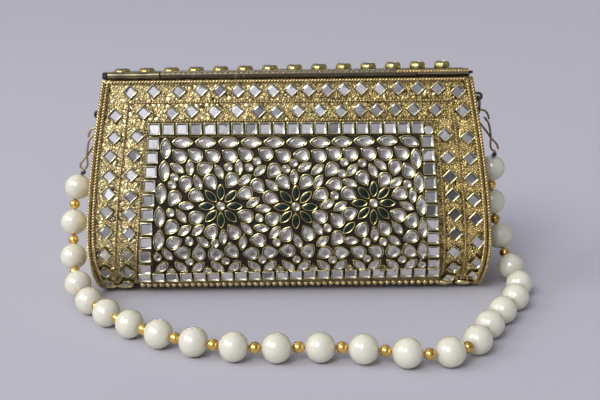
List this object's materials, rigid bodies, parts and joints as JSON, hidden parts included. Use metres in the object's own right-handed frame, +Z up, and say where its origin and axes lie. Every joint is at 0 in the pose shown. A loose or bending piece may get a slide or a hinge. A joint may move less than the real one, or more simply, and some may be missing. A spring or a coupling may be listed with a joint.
{
  "type": "kundan clutch bag",
  "caption": "Rigid brass clutch bag with a stone-set front panel, mirror borders, a hinged metal lid with round settings and a pearl string handle",
  "frame": {"origin": "on the surface the bag stands on, under the middle of the body without its handle", "axes": "+X along the hinge to the right of a viewer facing the decorated front, +Y from the decorated front to the back, +Z up"},
  "size_m": [0.2411, 0.1505, 0.114],
  "materials": {
    "antique_brass": "gilded filigree sheet, darkened in its recesses",
    "polished_brass": "polished",
    "black_lac": "dark green-black lac ground",
    "mirror_glass": "foil-backed glass",
    "black_enamel": "black enamel",
    "velvet": "short pile velvet",
    "hook_wire": "worn gilt wire",
    "pearl_coat": "nacre coat",
    "thread": "twisted thread"
  },
  "bodies": {
    "bag": {"body_sheet": "antique_brass", "end_plate_left": "antique_brass", "end_plate_right": "antique_brass", "edge_rope_left": "antique_brass", "edge_rope_right": "antique_brass", "rim_rope_front": "antique_brass", "rim_rope_back": "antique_brass", "handle_lug_left": "antique_brass", "handle_lug_right": "antique_brass", "hinge_knuckle_left": "polished_brass", "hinge_knuckle_right": "polished_brass", "catch_stud": "polished_brass", "foot_setting_front_left": "polished_brass", "foot_setting_back_left": "polished_brass", "foot_setting_front_right": "polished_brass", "foot_setting_back_right": "polished_brass", "kundan_panel": "black_lac", "mirror_frame": "mirror_glass", "hinge_pin": "black_enamel", "lining": "velvet", "jump_ring_left": "hook_wire", "jump_ring_right": "hook_wire", "wire_hook_left": "hook_wire", "wire_hook_right": "hook_wire", "pearl_01": "pearl_coat", "pearl_02": "pearl_coat", "pearl_03": "pearl_coat", "pearl_04": "pearl_coat", "pearl_05": "pearl_coat", "pearl_06": "pearl_coat", "pearl_07": "pearl_coat", "pearl_08": "pearl_coat", "pearl_09": "pearl_coat", "pearl_10": "pearl_coat", "pearl_11": "pearl_coat", "pearl_12": "pearl_coat", "pearl_13": "pearl_coat", "pearl_14": "pearl_coat", "pearl_15": "pearl_coat", "pearl_16": "pearl_coat", "pearl_17": "pearl_coat", "pearl_18": "pearl_coat", "pearl_19": "pearl_coat", "pearl_20": "pearl_coat", "pearl_21": "pearl_coat", "pearl_22": "pearl_coat", "pearl_23": "pearl_coat", "pearl_24": "pearl_coat", "handle_string": "thread"},
    "lid": {"lid": "antique_brass", "lid_lining": "velvet", "hinge_knuckle_middle": "polished_brass", "catch_tongue": "polished_brass"}
  },
  "joints": [
    {"name": "lid_hinge", "type": "hinge", "parent": "bag", "child": "lid", "pos_m": [0, -0.0095, 0.1108], "axis": [1, 0, 0], "range_deg": [0, 100]}
  ]
}
